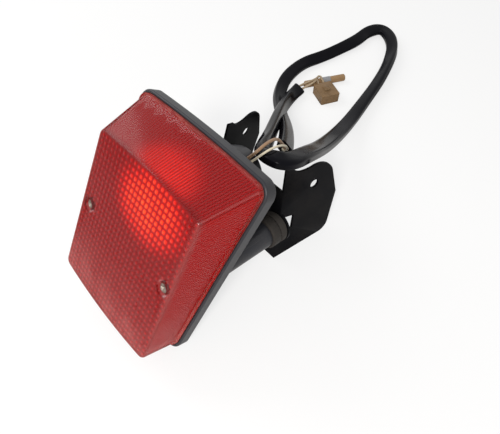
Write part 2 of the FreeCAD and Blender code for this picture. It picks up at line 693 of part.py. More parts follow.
def boot_axis():
    start, end = Vec(*BOOT_FROM), Vec(*BOOT_TO)
    return start, (end - start).normalize(), (end - start).Length


def make_boot():
    start, along, length = boot_axis()
    body = cylinder(BOOT_R, start, along, length)
    body = body.makeFillet(1.5, [e for e in body.Edges if len(e.Vertexes) == 1])
    return body.cut(tube(BAND_R + 2, BAND_R - 1.2, start + along * BAND_AT, along, BAND_LENGTH))


def make_band():
    start, along, length = boot_axis()
    return tube(BAND_R, BAND_R - 1.2, start + along * BAND_AT, along, BAND_LENGTH)


def make_boot_wire():
    last, before = Vec(*SLEEVE_ROUTE[-1]), Vec(*SLEEVE_ROUTE[-2])
    ahead = (last - before).normalize()
    start, along, length = boot_axis()
    beside = Vec(-SLEEVE_R + SLEEVE_WALL + WIRE_R + FIT, 0, -1.0)
    way = [last - ahead * (MOUTH_DEPTH - 1.0) + beside, last + ahead * 2.0 + beside, start - along * 5.0, start]
    return cord("boot wire", way, WIRE_R)


# --- writing -----------------------------------------------------------------------------------------------
def main():
    os.makedirs("parts", exist_ok=True)
    lift = -lowest(tipped(make_rim()))

    def back(shape):
        moved = shape.copy()
        bench = FreeCAD.Placement(Vec(0, 0, lift), FreeCAD.Rotation(Vec(1, 0, 0), -TILT))
        moved.Placement = bench.inverse().multiply(moved.Placement)
        return moved

    housing = make_housing([back(make_standoff(side)) for side in (-1, 1)])
    for side in (-1, 1):
        housing = housing.cut(back(stud_bore(side)))
    housing = housing.cut(make_grommet())
    lamp = {
        "lens": [make_lens()], "lens_gasket": [make_gasket()], "lens_screws": make_screws(),
        "screw_seals": make_seals(), "housing": [housing], "reflector": [make_reflector()],
        "bulb_glass": [make_bulb_glass()], "bulb_cap": [make_bulb_cap()], "bulb_pins": make_bulb_pins(),
        "bulb_contacts": make_bulb_contacts(), "bulb_stem": [make_stem()], "filaments": make_filaments(),
        "bulb_socket": [make_socket()], "contact_plungers": make_plungers(),
        "contact_springs": make_contact_springs(), "socket_insulator": [make_insulator()],
        "screw_inserts": [tube(INSERT_R, SCREW_R + THREAD_GAP, (x, GASKET_THICK + 0.6, SCREW_Z), (0, 1, 0),
                               INSERT_LENGTH) for x in (-SCREW_X, SCREW_X)]}
    parts = {name: [tipped(s, lift) for s in solids] for name, solids in lamp.items()}
    parts["wire_grommet"] = [tipped(make_grommet(), lift)]
    parts["wire_brown"] = [make_lamp_wire("brown wire", -1, WIRE_R, BROWN_WAY, lift)]
    parts["wire_cream"] = [make_lamp_wire("cream wire", 1, THIN_WIRE_R, CREAM_WAY, lift)]
    parts["harness_sleeve"] = [make_sleeve()]
    parts["plug_housing"] = [make_plug()]
    parts["plug_terminals"] = make_terminals()
    parts["plug_wires"] = make_plug_wires()
    parts["bullet_boot"] = [make_boot()]
    parts["bullet_band"] = [make_band()]
    parts["bullet_wire"] = [make_boot_wire()]
    parts["bracket"] = [make_bracket()]
    parts["rubber_dampers"] = each_stud(make_damper)
    parts["damper_collars"] = each_stud(make_collar)
    parts["damper_washers"] = each_stud(make_washer)
    parts["damper_nuts"] = each_stud(make_nut)
    parts["damper_studs"] = each_stud(make_stud)
    print("lift", round(lift, 2))
    for name, solids in parts.items():
        shape = solids[0] if len(solids) == 1 else Part.makeCompound(solids)
        shape = shape.copy()
        shape.translate(Vec(0, BENCH_Y, 0))
        shape.exportStep("parts/" + name + ".step")
        print(name, len(solids), "solids", [s.isValid() for s in solids], round(sum(s.Volume for s in solids)))


main()
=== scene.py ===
# %% [markdown]
# This lesson dresses a motorcycle tail light that lies on a bench with its lens up. The solid model gives every
# piece its true size and place. Here the pieces get smooth shading, real surfaces, the fine optics inside the lens
# and the soft harness. Everything is in metres, in the same frame as the solid model.

import bmesh
import bpy
import json
import math
from mathutils import Matrix, Vector


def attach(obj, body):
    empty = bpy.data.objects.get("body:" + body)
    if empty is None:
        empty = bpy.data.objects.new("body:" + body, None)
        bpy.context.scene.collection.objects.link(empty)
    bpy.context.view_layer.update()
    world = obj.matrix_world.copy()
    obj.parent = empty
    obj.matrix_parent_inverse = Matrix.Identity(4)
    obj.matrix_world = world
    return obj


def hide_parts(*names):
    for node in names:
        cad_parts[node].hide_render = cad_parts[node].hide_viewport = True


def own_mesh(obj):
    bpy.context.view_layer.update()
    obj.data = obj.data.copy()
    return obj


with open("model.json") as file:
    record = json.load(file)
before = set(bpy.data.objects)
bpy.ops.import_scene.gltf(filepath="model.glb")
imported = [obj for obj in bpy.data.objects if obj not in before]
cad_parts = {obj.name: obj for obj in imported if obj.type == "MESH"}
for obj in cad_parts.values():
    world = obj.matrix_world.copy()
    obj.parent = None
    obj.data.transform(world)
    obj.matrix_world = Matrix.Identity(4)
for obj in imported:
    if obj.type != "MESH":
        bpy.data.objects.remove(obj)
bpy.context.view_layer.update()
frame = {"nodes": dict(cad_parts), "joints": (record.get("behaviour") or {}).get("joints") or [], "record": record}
MM = 0.001

# %% [markdown]
# The lamp is tipped back on the bench, so its own axes are turned. The slide of the lens gives the tip angle, and
# the bulb's turning axis gives a known point, 50 mm behind the rim plane and 38 mm below the rim's top edge. From
# these two one matrix places anything that is described in the lamp's own frame.

# %% The lamp's own frame
BULB_BEHIND, BULB_BELOW = 0.050, 0.038
joints = {joint["name"]: joint for joint in frame["joints"]}
away = Vector(joints["lens_slide"]["axis"])
TILT = math.atan2(away.z, -away.y)
turn_back = Matrix.Rotation(-TILT, 4, "X")
bulb_point = Vector(joints["bulb_turn"]["pos_m"])
origin = bulb_point - turn_back @ Vector((0, BULB_BEHIND, -BULB_BELOW))
LAMP = Matrix.Translation(origin) @ turn_back
print("tipped back", round(math.degrees(TILT), 2), "degrees; lamp origin", [round(v, 4) for v in origin])


def lamp_point(x, y, z):
    """A point in the lamp's frame, in millimetres, placed on the bench in metres."""
    return LAMP @ (Vector((x, y, z)) * MM)


# %% [markdown]
# The camera looks down at the lamp from its right and a little above the lens. Its place and direction are set
# once, without any shift or depth of field, so that every other view stays true.

# %% Camera
CAMERA_PLACE = Vector((0.1697, -0.1054, 0.3333))
LOOK = Vector((-0.42160, 0.38843, -0.81938))
camera_data = bpy.data.cameras.new("camera")
camera_data.sensor_width = 36.0
camera_data.lens = 28.8
camera = bpy.data.objects.new("camera", camera_data)
camera.location = CAMERA_PLACE
camera.rotation_mode = "QUATERNION"
camera.rotation_quaternion = LOOK.to_track_quat("-Z", "Y")
bpy.context.scene.collection.objects.link(camera)
bpy.context.scene.camera = camera
print("camera", [round(v, 3) for v in camera.location])

# %% [markdown]
# The harness sleeve is a soft vinyl tube that lies in loose loops and has gone flat over the years. A curve with an
# oval section does this: the points are the route, and the oval is wider than it is high. At each point the oval is
# turned about the route, and where it turns quickly the sleeve gets narrower. The size of a curve sits in its points'
# radius, so that a curve's bounds stay true.

# %% Sleeve
BENCH_Y = 4.3               # the routes are listed from a line this far behind the frame's zero
FLAT_HALF_WIDTH = 0.0083
FLATNESS = 0.57             # height of the oval as a share of its width
TWIST_PINCH = 0.0025        # share of the width lost per degree of twist
SLEEVE_ROUTE = [
    (1.4, 88.3, 72), (-19.0, 114.0, 54), (-48.9, 144.9, 34), (-83.9, 172.3, 16), (-112.5, 199.5, 7.5),
    (-131.9, 232.4, 7), (-137.9, 271.5, 7), (-129.6, 301.1, 7), (-124.9, 338.1, 7), (-122.2, 370.6, 7),
    (-126.0, 397.0, 7), (-118.2, 419.7, 7), (-97.2, 413.2, 7), (-76.2, 391.3, 7), (-58.7, 358.0, 7),
    (-42.2, 311.6, 7), (-30.9, 268.1, 7), (-17.6, 222.9, 12), (-3.1, 175.1, 28), (13.5, 127.0, 56),
    (28.5, 86.0, 88), (38.0, 49.0, 111), (16.5, 44.5, 108), (1.8, 60.8, 93), (-13.7, 81.3, 77),
    (-36.0, 110.8, 58), (-62.4, 147.3, 38), (-87.7, 186.1, 17), (-100.7, 213.1, 7.5), (-103.2, 226.9, 7)]


def on_bench(points):
    """Route points, listed in millimetres, as places in metres."""
    return [Vector((x, y + BENCH_Y, z)) * MM for x, y, z in points]


def route_curve(name, points, radius, section=None, turns=()):
    """A smooth curve that starts and ends on its first and last points.

    It is round, or has the given section, which turns gives an angle at each point."""
    data = bpy.data.curves.new(name, "CURVE")
    data.dimensions = "3D"
    data.resolution_u = 10
    data.twist_mode = "Z_UP"
    if section:
        data.bevel_mode = "OBJECT"
        data.bevel_object = section
    else:
        data.bevel_depth = 1.0
        data.bevel_resolution = 4
    data.use_fill_caps = True
    spline = data.splines.new("NURBS")
    spline.points.add(len(points) - 1)
    for slot, point in zip(spline.points, points):
        slot.co = (*point, 1.0)
        slot.radius = radius
    for index, (slot, turn) in enumerate(zip(spline.points, turns)):
        slot.tilt = math.radians(turn)
        twist = abs(turns[min(index + 1, len(turns) - 1)] - turns[max(index - 1, 0)])
        slot.radius = radius * (1.0 - TWIST_PINCH * twist)
    spline.order_u = 3
    spline.use_endpoint_u = True
    spline.use_smooth = True
    piece = bpy.data.objects.new(name, data)
    bpy.context.scene.collection.objects.link(piece)
    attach(piece, "lamp")
    return piece


def line_length(piece):
    """Length of a curve's own line, measured on a bare copy."""
    bare = piece.data.copy()
    bare.bevel_depth = 0.0
    bare.bevel_mode = "ROUND"
    bare.use_fill_caps = False
    probe = bpy.data.objects.new("probe", bare)
    bpy.context.scene.collection.objects.link(probe)
    mesh = probe.to_mesh()
    total = sum((mesh.vertices[a].co - mesh.vertices[b].co).length for a, b in (e.vertices for e in mesh.edges))
    probe.to_mesh_clear()
    bpy.data.objects.remove(probe)
    bpy.data.curves.remove(bare)
    return total


def oval(name, half_width, half_height):
    """A closed ellipse for a section; it isn't rendered itself."""
    data = bpy.data.curves.new(name, "CURVE")
    data.dimensions = "2D"
    data.resolution_u = 8
    spline = data.splines.new("NURBS")
    corners = [(1, 0), (1, 1), (0, 1), (-1, 1), (-1, 0), (-1, -1), (0, -1), (1, -1)]
    spline.points.add(len(corners) - 1)
    for index, (x, y) in enumerate(corners):
        weight = 1.0 if index % 2 == 0 else math.sqrt(0.5)
        spline.points[index].co = (x * half_width, y * half_height, 0, weight)
    spline.order_u = 3
    spline.use_cyclic_u = True
    section = bpy.data.objects.new(name, data)
    bpy.context.scene.collection.objects.link(section)
    section.hide_render = True
    return section


# degrees at each point of the route: 0 lies flat, 90 stands on edge
SLEEVE_TURNS = [
    45, 45, 45, 40, 30, 15, 15, 50, 48, 25, 40, 10, 0, 10, 45, 30, 20, 0, 0, 0, 0, 0, 20, 50, 75, 80, 80, 70, 35, 25]
flat_section = oval("flat_section", 1.0, FLATNESS)
sleeve = route_curve("sleeve", on_bench(SLEEVE_ROUTE), FLAT_HALF_WIDTH, flat_section, SLEEVE_TURNS)
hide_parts("harness_sleeve")
sleeve_length = line_length(sleeve)
print("sleeve", round(sleeve_length, 4), "m")

# %% [markdown]
# Two wires leave the grommet on the bulb's bowl, arch over the sleeve and run into its open end. Each is a cord of
# its own. They stand straight out of the grommet first, and go straight into the sleeve's mouth.

# %% Lamp wires
def wire_on(name, node, points, radius):
    """A round wire that stands for a node."""
    wire = route_curve(name, points, radius)
    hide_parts(node)
    length = line_length(wire)
    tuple(points[0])
    print(name, round(length, 4), "m")
    return wire


BOWL_R = 26.0
GROMMET_PROUD = 3.8
EXIT_BEHIND = 46.0
EXIT_TURN = math.radians(30.0)
WIRE_RISE = 8.0
SIDE_BY_SIDE = 1.9          # half the distance between the wires at the grommet
MOUTH_APART = 2.4           # and in the sleeve's mouth
MOUTH_BEFORE, MOUTH_WITHIN = 8.0, 7.0
out = Vector((math.sin(EXIT_TURN), 0, math.cos(EXIT_TURN)))
across = Vector((out.z, 0, -out.x))
grommet_face = Vector((0, EXIT_BEHIND, -BULB_BELOW / MM)) + out * (BOWL_R + GROMMET_PROUD)
mouth, mouth_ahead = on_bench(SLEEVE_ROUTE[:2])
inward = (mouth_ahead - mouth).normalized()
beside = inward.cross(Vector((0, 0, 1))).normalized()


def lamp_wire(name, node, side, radius, way):
    """A wire from the grommet, past the points of way, into the sleeve's mouth; side is -1 or 1."""
    start = grommet_face + across * (side * SIDE_BY_SIDE)
    shift = beside * (-side * MOUTH_APART * MM)
    points = [lamp_point(*start), lamp_point(*(start + out * WIRE_RISE))] + on_bench(way)
    points += [mouth + shift - inward * MOUTH_BEFORE * MM, mouth + shift + inward * MOUTH_WITHIN * MM]
    return wire_on(name, node, points, radius * MM)


brown_wire = lamp_wire("lamp_wire_brown", "wire_brown", -1, 1.3,
                       [(17.0, 47.0, 117.5), (11.5, 65.0, 108.0), (7.5, 77.0, 91.0)])
cream_wire = lamp_wire("lamp_wire_cream", "wire_cream", 1, 0.9,
                       [(23.0, 48.5, 117.0), (20.0, 66.0, 106.0), (15.0, 77.0, 89.0)])

# %% [markdown]
# Several finishes share the same wear. Dust settles in soft patches, and moulded plastic and paint are never quite
# flat. Each is one small node group, so every material can use it with its own strength.

# %% Shared wear: dust and fine grain
def node_group(name, inputs, outputs):
    """A node group with its sockets, and its own input and output nodes."""
    group = bpy.data.node_groups.new(name, "ShaderNodeTree")
    for label, kind, value in inputs:
        socket = group.interface.new_socket(name=label, in_out="INPUT", socket_type=kind)
        socket.default_value = value
    for label, kind in outputs:
        group.interface.new_socket(name=label, in_out="OUTPUT", socket_type=kind)
    return group, group.nodes.new("NodeGroupInput"), group.nodes.new("NodeGroupOutput")


def noise_in(tree, scale, detail=4.0):
    """A noise on the object's own coordinates; scale is in features per metre."""
    place = tree.nodes.new("ShaderNodeTexCoord")
    noise = tree.nodes.new("ShaderNodeTexNoise")
    noise.inputs["Scale"].default_value = scale
    noise.inputs["Detail"].default_value = detail
    noise.inputs["Roughness"].default_value = 0.55
    tree.links.new(place.outputs["Object"], noise.inputs["Vector"])
    return noise


def ramp_in(tree, source, low, high, value_low=0.0, value_high=1.0):
    """A soft step: value_low up to low, value_high from high on."""
    ramp = tree.nodes.new("ShaderNodeMapRange")
    ramp.interpolation_type = "SMOOTHSTEP"
    for label, value in (("From Min", low), ("From Max", high), ("To Min", value_low), ("To Max", value_high)):
        ramp.inputs[label].default_value = value
    tree.links.new(source, ramp.inputs["Value"])
    return ramp.outputs["Result"]


def mix_colour(tree, share, first, second):
    """A blend from the first colour to the second; each value is a socket or plain."""
    mix = tree.nodes.new("ShaderNodeMix")
    mix.data_type = "RGBA"
    for socket, value in ((mix.inputs[0], share), (mix.inputs[6], first), (mix.inputs[7], second)):
        if hasattr(value, "is_linked"):
            tree.links.new(value, socket)
        else:
            socket.default_value = value if not isinstance(value, tuple) else (*value, 1.0)[:4]
    return mix.outputs[2]


def maths(tree, operation, first, second=0.0):
    """One step of arithmetic on two values, each a socket or a plain number."""
    node = tree.nodes.new("ShaderNodeMath")
    node.operation = operation
    for socket, value in zip(node.inputs, (first, second)):
        if hasattr(value, "is_linked"):
            tree.links.new(value, socket)
        else:
            socket.default_value = value
    return node.outputs[0]


def build_dust_group():
    """A clean colour with dust over it in broad patches that fine ones break up."""
    group, given, result = node_group(
        "settled_dust",
        [("Clean", "NodeSocketColor", (0.1, 0.1, 0.1, 1)), ("Dust", "NodeSocketColor", (0.4, 0.36, 0.3, 1)),
         ("Amount", "NodeSocketFloat", 0.3)],
        [("Color", "NodeSocketColor"), ("Dust mask", "NodeSocketFloat")])
    broad = ramp_in(group, noise_in(group, 38.0).outputs["Fac"], 0.38, 0.68)
    fine = ramp_in(group, noise_in(group, 420.0, 6.0).outputs["Fac"], 0.35, 0.75, 0.35, 1.0)
    mask = maths(group, "MULTIPLY", maths(group, "MULTIPLY", broad, fine), given.outputs["Amount"])
    group.links.new(mix_colour(group, mask, given.outputs["Clean"], given.outputs["Dust"]), result.inputs["Color"])
    group.links.new(mask, result.inputs["Dust mask"])
    return group


def build_grain_group():
    """The height of a fine noise, for a bump."""
    group, given, result = node_group(
        "moulded_grain", [("Scale", "NodeSocketFloat", 1500.0)], [("Height", "NodeSocketFloat")])
    noise = noise_in(group, 1500.0, 2.0)
    group.links.new(given.outputs["Scale"], noise.inputs["Scale"])
    group.links.new(noise.outputs["Fac"], result.inputs["Height"])
    return group


DUST = build_dust_group()
GRAIN = build_grain_group()
print("groups", DUST.name, GRAIN.name)

# %% [markdown]
# A finish is a Principled surface. Plain numbers sit on its own sockets. Where there is dust, the colour goes
# through the dust group and the dusty patches are rougher; where there is grain, a small bump breaks the shine.

# %% Finish helper
def finish(name, colour, rough, metal=0.0, dust=0.0, dust_colour=(0.36, 0.32, 0.27), grain=0.0, grain_scale=1500.0,
           alpha=1.0, ior=1.5, specular=0.5):
    """A Principled surface, with dust and grain only where they are above zero."""
    material = bpy.data.materials.new(name)
    material.use_nodes = True
    tree = material.node_tree
    surface = tree.nodes["Principled BSDF"]
    surface.inputs["Base Color"].default_value = (*colour, 1.0)
    surface.inputs["Roughness"].default_value = rough
    surface.inputs["Metallic"].default_value = metal
    surface.inputs["Alpha"].default_value = alpha
    surface.inputs["IOR"].default_value = ior
    surface.inputs["Specular IOR Level"].default_value = specular
    if dust > 0:
        film = tree.nodes.new("ShaderNodeGroup")
        film.node_tree = DUST
        film.inputs["Clean"].default_value = (*colour, 1.0)
        film.inputs["Dust"].default_value = (*dust_colour, 1.0)
        film.inputs["Amount"].default_value = dust
        tree.links.new(film.outputs["Color"], surface.inputs["Base Color"])
        tree.links.new(ramp_in(tree, film.outputs["Dust mask"], 0.0, 0.8, rough, min(0.95, rough + 0.45)),
                       surface.inputs["Roughness"])
    if grain > 0:
        texture = tree.nodes.new("ShaderNodeGroup")
        texture.node_tree = GRAIN
        texture.inputs["Scale"].default_value = grain_scale
        bump = tree.nodes.new("ShaderNodeBump")
        bump.inputs["Strength"].default_value = grain
        bump.inputs["Distance"].default_value = 0.0002
        tree.links.new(texture.outputs["Height"], bump.inputs["Height"])
        tree.links.new(bump.outputs["Normal"], surface.inputs["Normal"])
    return material


# %% [markdown]
# The solid model's pieces come as loose triangles. A dressed piece is a welded copy with smooth shading that stays
# crisp at real edges. It stands for its node and rides on the same body.

# %% Dressing a solid
BODY_OF = {node: body for body, nodes in frame["record"]["behaviour"]["bodies"].items() for node in nodes}


def dressed(node, material, crisp=32.0):
    """A welded, smooth copy of a node; edges that turn by more than crisp degrees stay crisp."""
    mesh = frame["nodes"][node].data.copy()
    mesh.name = node + "_dressed"
    shape = bmesh.new()
    shape.from_mesh(mesh)
    bmesh.ops.remove_doubles(shape, verts=shape.verts, dist=0.000004)
    shape.to_mesh(mesh)
    shape.free()
    mesh.polygons.foreach_set("use_smooth", [True] * len(mesh.polygons))
    mesh.set_sharp_from_angle(angle=math.radians(crisp))
    mesh.materials.clear()
    mesh.materials.append(material)
    piece = bpy.data.objects.new(node + "_dressed", mesh)
    bpy.context.scene.collection.objects.link(piece)
    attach(piece, BODY_OF[node])
    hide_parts(node)
    evened = piece.modifiers.new("evened", "WEIGHTED_NORMAL")
    evened.keep_sharp = True
    return piece


print("bodies to ride on", sorted(set(BODY_OF.values())))

# %% [markdown]
# The housing, the bracket and their fixings. The housing is charcoal moulded plastic with a satin skin and dust. The
# bracket is pressed steel in black paint, with dust. The dampers are old rubber that has gone brown.

# %% Housing, bracket and fixings
CHARCOAL = finish("charcoal_plastic", (0.022, 0.023, 0.028), 0.36, dust=0.14, dust_colour=(0.09, 0.075, 0.065),
                  grain=0.25, specular=0.25)
BLACK_PAINT = finish("black_paint", (0.004, 0.004, 0.005), 0.40, dust=0.25, dust_colour=(0.030, 0.026, 0.023),
                     grain=0.2, grain_scale=700.0, specular=0.04)
OLD_RUBBER = finish("old_rubber", (0.030, 0.026, 0.023), 0.72, dust=0.6, dust_colour=(0.12, 0.095, 0.075), grain=0.6,
                    grain_scale=900.0, specular=0.2)
DULL_STEEL = finish("dull_steel", (0.36, 0.33, 0.30), 0.42, metal=1.0, dust=0.4, dust_colour=(0.25, 0.17, 0.11))
BLACK_RUBBER = finish("black_rubber", (0.02, 0.02, 0.02), 0.6)
for node, material, crisp in (("housing", CHARCOAL, 30), ("bracket", BLACK_PAINT, 30),
                              ("rubber_dampers", OLD_RUBBER, 40), ("damper_collars", DULL_STEEL, 30),
                              ("damper_washers", DULL_STEEL, 30), ("damper_nuts", DULL_STEEL, 25),
                              ("damper_studs", DULL_STEEL, 30), ("wire_grommet", BLACK_RUBBER, 30)):
    dressed(node, material, crisp)
print("housing and bracket dressed")

# %% [markdown]
# Inside the lamp are the pressed reflector and a bayonet bulb: clear glass on a brass cap, two wound filaments on
# their supports, pins that lock in the socket's slots, and sprung contacts behind.

# %% Reflector, bulb and socket
BRIGHT = finish("bright_metal", (0.80, 0.80, 0.78), 0.14, metal=1.0)
CLEAR_GLASS = finish("clear_glass", (0.96, 0.97, 0.97), 0.03, alpha=0.3, ior=1.9)
CAP_BRASS = finish("cap_brass", (0.62, 0.46, 0.24), 0.34, metal=1.0)
ZINC = finish("zinc_plate", (0.52, 0.52, 0.50), 0.36, metal=1.0)
TUNGSTEN = finish("wound_wire", (0.22, 0.22, 0.23), 0.45, metal=1.0)
BOARD = finish("brown_board", (0.14, 0.06, 0.03), 0.6)
for node, material in (("reflector", BRIGHT), ("bulb_glass", CLEAR_GLASS), ("bulb_cap", CAP_BRASS),
                       ("bulb_pins", CAP_BRASS), ("bulb_contacts", CAP_BRASS), ("bulb_stem", CLEAR_GLASS),
                       ("filaments", TUNGSTEN), ("bulb_socket", ZINC), ("contact_plungers", CAP_BRASS),
                       ("contact_springs", ZINC), ("socket_insulator", BOARD), ("screw_inserts", CAP_BRASS)):
    piece = dressed(node, material)
    if node == "contact_springs":
        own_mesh(piece)
print("bulb and socket dressed")

# %% [markdown]
# The lens is one red moulding. Its outer skin is smooth and clear, and the optics are moulded on its inside. A thin
# clear skin over a patterned red layer shows that: light passes the skin and falls straight on the optics. The skin
# is hazy low on the face, and a painted highlight makes it paler along the face's upright edges. The camera sees its
# inner side as solid, but light passes that side too, or the optics would lie in shadow.

# %% Lens skin
def lamp_coordinates(tree):
    """Object coordinates turned into the lamp's frame, in millimetres."""
    place = tree.nodes.new("ShaderNodeTexCoord")
    mapping = tree.nodes.new("ShaderNodeMapping")
    shift = (turn_back.inverted() @ origin) / MM
    mapping.inputs["Location"].default_value = (-shift.x, -shift.y, -shift.z)
    mapping.inputs["Rotation"].default_value = (TILT, 0, 0)
    mapping.inputs["Scale"].default_value = (1000, 1000, 1000)
    tree.links.new(place.outputs["Object"], mapping.inputs["Vector"])
    split = tree.nodes.new("ShaderNodeSeparateXYZ")
    tree.links.new(mapping.outputs["Vector"], split.inputs["Vector"])
    return split.outputs


def spread_from(tree, value, middle, width):
    """0 at the middle and 1 a width away from it, growing with the square of the distance."""
    offset = maths(tree, "DIVIDE", maths(tree, "SUBTRACT", value, middle), width)
    return maths(tree, "MULTIPLY", offset, offset)


# The second red colours both the haze and the painted highlight along the face's upright edges.
LENS_RED, WORN_AND_SHINE_RED = (0.34, 0.006, 0.005), (0.62, 0.13, 0.12)
CLEAR_SHARE, WORN_AND_SHINE_SHARE = 0.20, 0.10            # how much the clean skin covers, and what wear and the painted edge highlight add
HAZE_FULL, HAZE_ENDS = -150.0, -96.0            # heights on the lamp
EDGE_HALF, EDGE_TAPER = 55.2, -0.0118           # half width of the face, and its change with height
EDGE_SHINE_STARTS, EDGE_SHINE_FULL, EDGE_SHINE_SHARE = -4.5, -0.5, 0.85        # from the face's edge, minus is inwards
EDGE_SHINE_DEPTH, EDGE_SHINE_ENDS = -36.0, -30.0          # depths on the lamp between which the painted edge highlight fades
ALONG_STARTS, ALONG_FULL, ALONG_SHARE = 0.66, 0.92, 0.8         # how edge-on the skin has to be to look thick


def lens_skin_finish():
    """Clear red: deeper where the eye looks along the wall, hazy low on the face, with a painted highlight along its
    upright edges.
    """
    material = finish("red_lens_skin", LENS_RED, 0.13, alpha=CLEAR_SHARE, ior=1.7)
    tree = material.node_tree
    surface = tree.nodes["Principled BSDF"]
    x, y, z = lamp_coordinates(tree)
    wear_and_edge_highlight = maths(tree, "MULTIPLY", ramp_in(tree, z, HAZE_FULL, HAZE_ENDS, 1.0, 0.0),
                 ramp_in(tree, noise_in(tree, 45.0).outputs["Fac"], 0.30, 0.65, 0.35, 1.0))
    half = maths(tree, "MULTIPLY_ADD", z, EDGE_TAPER)
    half.node.inputs[2].default_value = EDGE_HALF
    from_edge = maths(tree, "SUBTRACT", maths(tree, "ABSOLUTE", x), half)
    # Painted highlight: paler and less clear along the face's upright edges, near the face.
    painted_edge_highlight = maths(tree, "MULTIPLY", ramp_in(tree, from_edge, EDGE_SHINE_STARTS, EDGE_SHINE_FULL, 0.0, EDGE_SHINE_SHARE),
                    ramp_in(tree, y, EDGE_SHINE_DEPTH, EDGE_SHINE_ENDS, 1.0, 0.0))
    wear_and_edge_highlight = maths(tree, "MAXIMUM", wear_and_edge_highlight, painted_edge_highlight)
    tree.links.new(mix_colour(tree, wear_and_edge_highlight, LENS_RED, WORN_AND_SHINE_RED), surface.inputs["Base Color"])
    view = tree.nodes.new("ShaderNodeLayerWeight")
    view.inputs["Blend"].default_value = 0.5
    along = ramp_in(tree, view.outputs["Facing"], ALONG_STARTS, ALONG_FULL, 0.0, ALONG_SHARE)
    clear = maths(tree, "ADD", maths(tree, "MULTIPLY", wear_and_edge_highlight, WORN_AND_SHINE_SHARE), CLEAR_SHARE)
    inside = maths(tree, "MULTIPLY", tree.nodes.new("ShaderNodeNewGeometry").outputs["Backfacing"],
                   tree.nodes.new("ShaderNodeLightPath").outputs["Is Camera Ray"])
    tree.links.new(maths(tree, "MAXIMUM", maths(tree, "ADD", clear, along), inside), surface.inputs["Alpha"])
    return material


LENS_SKIN = lens_skin_finish()
lens_skin = dressed("lens", LENS_SKIN, 30)
print("lens skin", len(lens_skin.data.polygons), "faces")

# %% [markdown]
# The face's optics are rows of small pillows. A grid is laid in the lamp's frame just under the skin and each of
# its cells is raised like a cushion. The side walls get fine flutes from the rim to the face in the same way. Each
# grid is made flat and then its points are moved to where they belong. The height within a cell is kept on each
# point, so the colour's painted highlights on the crowns and painted shade in the grooves follow the same pattern.

# %% Lens optics
FACE = {"half_top": 55.5, "half_bottom": 57.0, "top": -26.0, "bottom": -153.0, "y": -35.0, "sag": 4.0}
RIM = {"half_top": 65.0, "half_bottom": 54.5, "top": 0.0, "bottom": -160.0, "sag": 1.0}
UNDER_SKIN = 1.3
TOP_ARCH = 1.6
PILLOW_BED, PILLOW_RISE, FLUTE_RISE = 0.6, 0.9, 0.3
WALL_START, WALL_RUN = 0.005, 0.985             # shares of the depth from rim to face
CORNER_KEEP = 2.0                               # the flutes stop short of the lens's corners
SCREW_CLEAR = 6.7
FLUTES = (48, 54, 48, 54)
FLUTE_STEPS, WALL_STEPS = 4, 6
WALL_NAMES = ("top", "right", "bottom", "left")
PILLOWS_ACROSS, PILLOWS_DOWN, STEPS = 25, 27, 5
SCREW_PLACES = [(-47.4, -87.0), (47.4, -87.0)]


def patterned_grid(name, across, down, place, pattern, material, keep=None):
    """A grid whose points, given as shares (0 to 1) across and down, are moved by place().

    pattern() gives each point's height in its own cell, which the colour uses as well."""
    shape = bmesh.new()
    bmesh.ops.create_grid(shape, x_segments=across, y_segments=down, size=0.5)
    height = shape.verts.layers.float.new("cell_height")
    for vert in shape.verts:
        u, v = vert.co.x + 0.5, 0.5 - vert.co.y
        vert[height] = pattern(u, v)
        vert.co = place(u, v)
    if keep:
        outside = [face for face in shape.faces if not keep(LAMP.inverted() @ face.calc_center_median() / MM)]
        bmesh.ops.delete(shape, geom=outside, context="FACES")
    bmesh.ops.recalc_face_normals(shape, faces=shape.faces)
    mesh = bpy.data.meshes.new(name)
    shape.to_mesh(mesh)
    shape.free()
    mesh.polygons.foreach_set("use_smooth", [True] * len(mesh.polygons))
    mesh.materials.append(material)
    piece = bpy.data.objects.new(name, mesh)
    bpy.context.scene.collection.objects.link(piece)
    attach(piece, "lens")
    return piece


def bow(share):
    """1 in the middle and 0 at both ends."""
    return 1.0 - (2.0 * share - 1.0) ** 2


def cushion(share, cells):
    """Height of a pillow profile, 0 in the grooves and 1 on the crowns."""
    return bow((share * cells) % 1.0)


def face_pattern(u, v):
    """Height within a pillow of the face."""
    return cushion(u, PILLOWS_ACROSS) * cushion(v, PILLOWS_DOWN)


def face_place(u, v):
    """Where a point of the pillowed face belongs; u runs across and v down."""
    top = FACE["top"] - UNDER_SKIN + TOP_ARCH * bow(u)
    bottom = FACE["bottom"] + UNDER_SKIN - FACE["sag"] * bow(u)
    half = FACE["half_top"] + (FACE["half_bottom"] - FACE["half_top"]) * v - UNDER_SKIN
    depth = FACE["y"] + UNDER_SKIN + PILLOW_BED - PILLOW_RISE * face_pattern(u, v)
    return lamp_point((2 * u - 1) * half, depth, top + (bottom - top) * v)


def clear_of_screws(point):
    """Whether a point on the lamp lies outside the wells of the two screws."""
    return all((point.x - x) ** 2 + (point.z - z) ** 2 > SCREW_CLEAR ** 2 for x, z in SCREW_PLACES)


